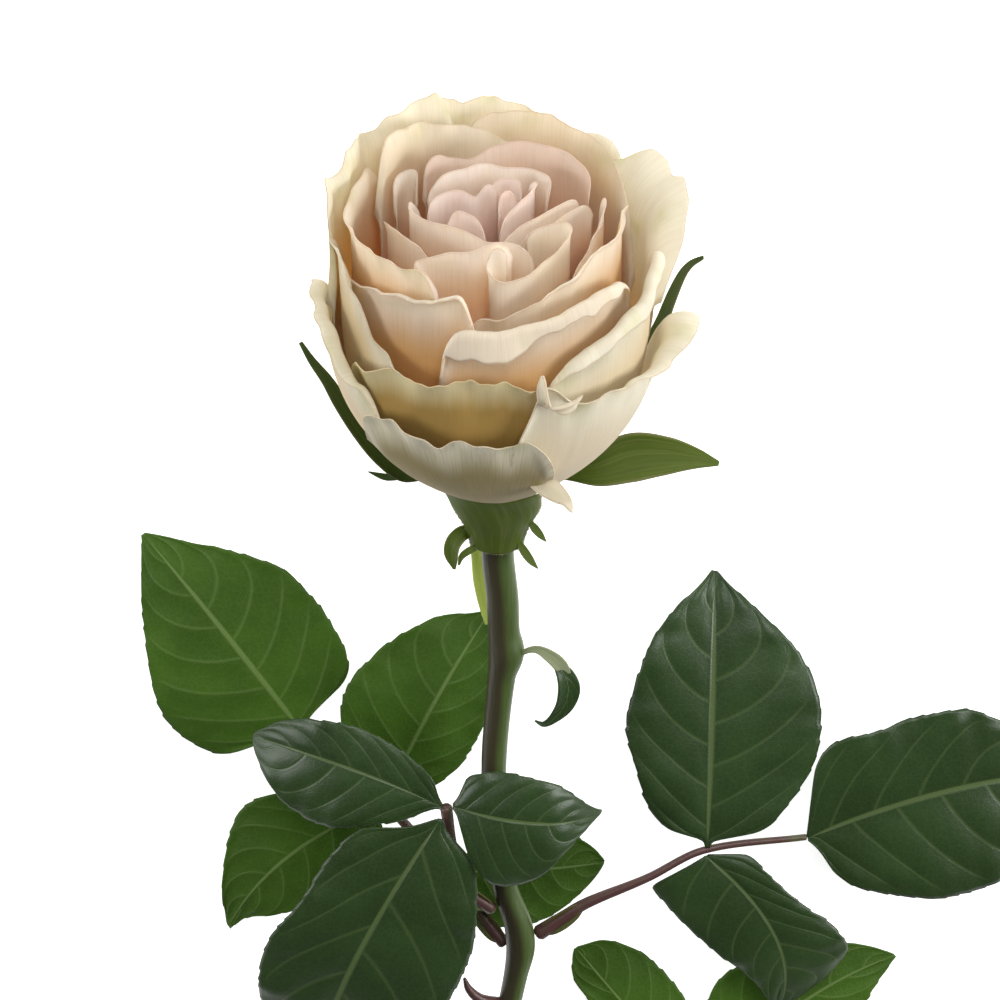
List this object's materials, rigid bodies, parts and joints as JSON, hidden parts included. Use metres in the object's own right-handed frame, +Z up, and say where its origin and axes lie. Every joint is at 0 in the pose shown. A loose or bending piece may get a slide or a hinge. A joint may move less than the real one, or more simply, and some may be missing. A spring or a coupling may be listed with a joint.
{
  "type": "cut rose",
  "caption": "Single cut double rose lying on its side: open ivory and peach bloom of separate petals, sepals, prickly stem and compound leaves.",
  "frame": {"origin": "on the surface the rose lies on, at the middle of its footprint", "axes": "+Z up from that surface, +Y along the stem towards the bloom, +X to the right as seen from above with the bloom at the top"},
  "size_m": [0.2009, 0.4059, 0.0648],
  "materials": {
    "petal_outer": "matt velvety ivory with a pale yellow-green foot, greenish edges and fine lengthwise veins",
    "petal_middle": "matt velvety cream, warm at the foot, fine lengthwise veins",
    "petal_inner": "matt velvety peach pink, orange deep between the petals",
    "petal_heart": "matt velvety pink peach",
    "sepal": "matt green with a pale downy edge",
    "leaf": "glossy dark green upper side, paler matt underside, raised veins",
    "stem": "smooth olive green, brown purple on one side",
    "leaf_stalk": "smooth purple brown"
  },
  "bodies": {
    "root": {"petal_front_guard": "petal_outer", "petal_front": "petal_outer", "petal_right_lip": "petal_outer", "petal_right_rolled": "petal_outer", "petal_right_flared": "petal_outer", "petal_back_sliver": "petal_outer", "petal_back": "petal_outer", "petal_left_guard": "petal_outer", "petal_left": "petal_outer", "petal_left_low": "petal_outer", "petal_back_right": "petal_middle", "petal_back_inner": "petal_middle", "petal_left_middle": "petal_middle", "petal_front_left": "petal_middle", "petal_front_rolled": "petal_middle", "petal_right_middle": "petal_middle", "petal_blush_front": "petal_inner", "petal_curled_tip": "petal_inner", "petal_blush_left": "petal_inner", "petal_left_inner": "petal_inner", "petal_heart_front": "petal_heart", "petal_heart_back": "petal_heart", "petal_blush_back": "petal_inner", "petal_heart_diagonal": "petal_heart", "petal_heart_tip": "petal_heart", "petal_heart_ring": "petal_heart", "petal_diagonal": "petal_inner", "petal_diagonal_outer": "petal_inner", "petal_right_inner": "petal_inner", "petal_mauve_back": "petal_inner", "petal_left_curl": "petal_inner", "hip": "stem", "sepal_left": "sepal", "sepal_back_right": "sepal", "sepal_right": "sepal", "sepal_hanging": "sepal", "sepal_front": "sepal", "bract": "leaf", "stem": "stem", "stalk_front_left": "leaf_stalk", "stalk_back_left": "leaf_stalk", "stalk_right": "leaf_stalk", "stalk_lower_right": "leaf_stalk", "leaflet_front_left_side": "leaf", "leaflet_front_left_end": "leaf", "leaflet_front_left_over": "leaf", "leaflet_back_left_end": "leaf", "leaflet_back_left_upper": "leaf", "leaflet_back_left_lower": "leaf", "leaflet_back_left_behind": "leaf", "leaflet_right_upper": "leaf", "leaflet_right_end": "leaf", "leaflet_right_lower": "leaf", "leaflet_lower_right_first": "leaf", "leaflet_lower_right_upper": "leaf", "leaflet_lower_right_end": "leaf"}
  },
  "joints": []
}
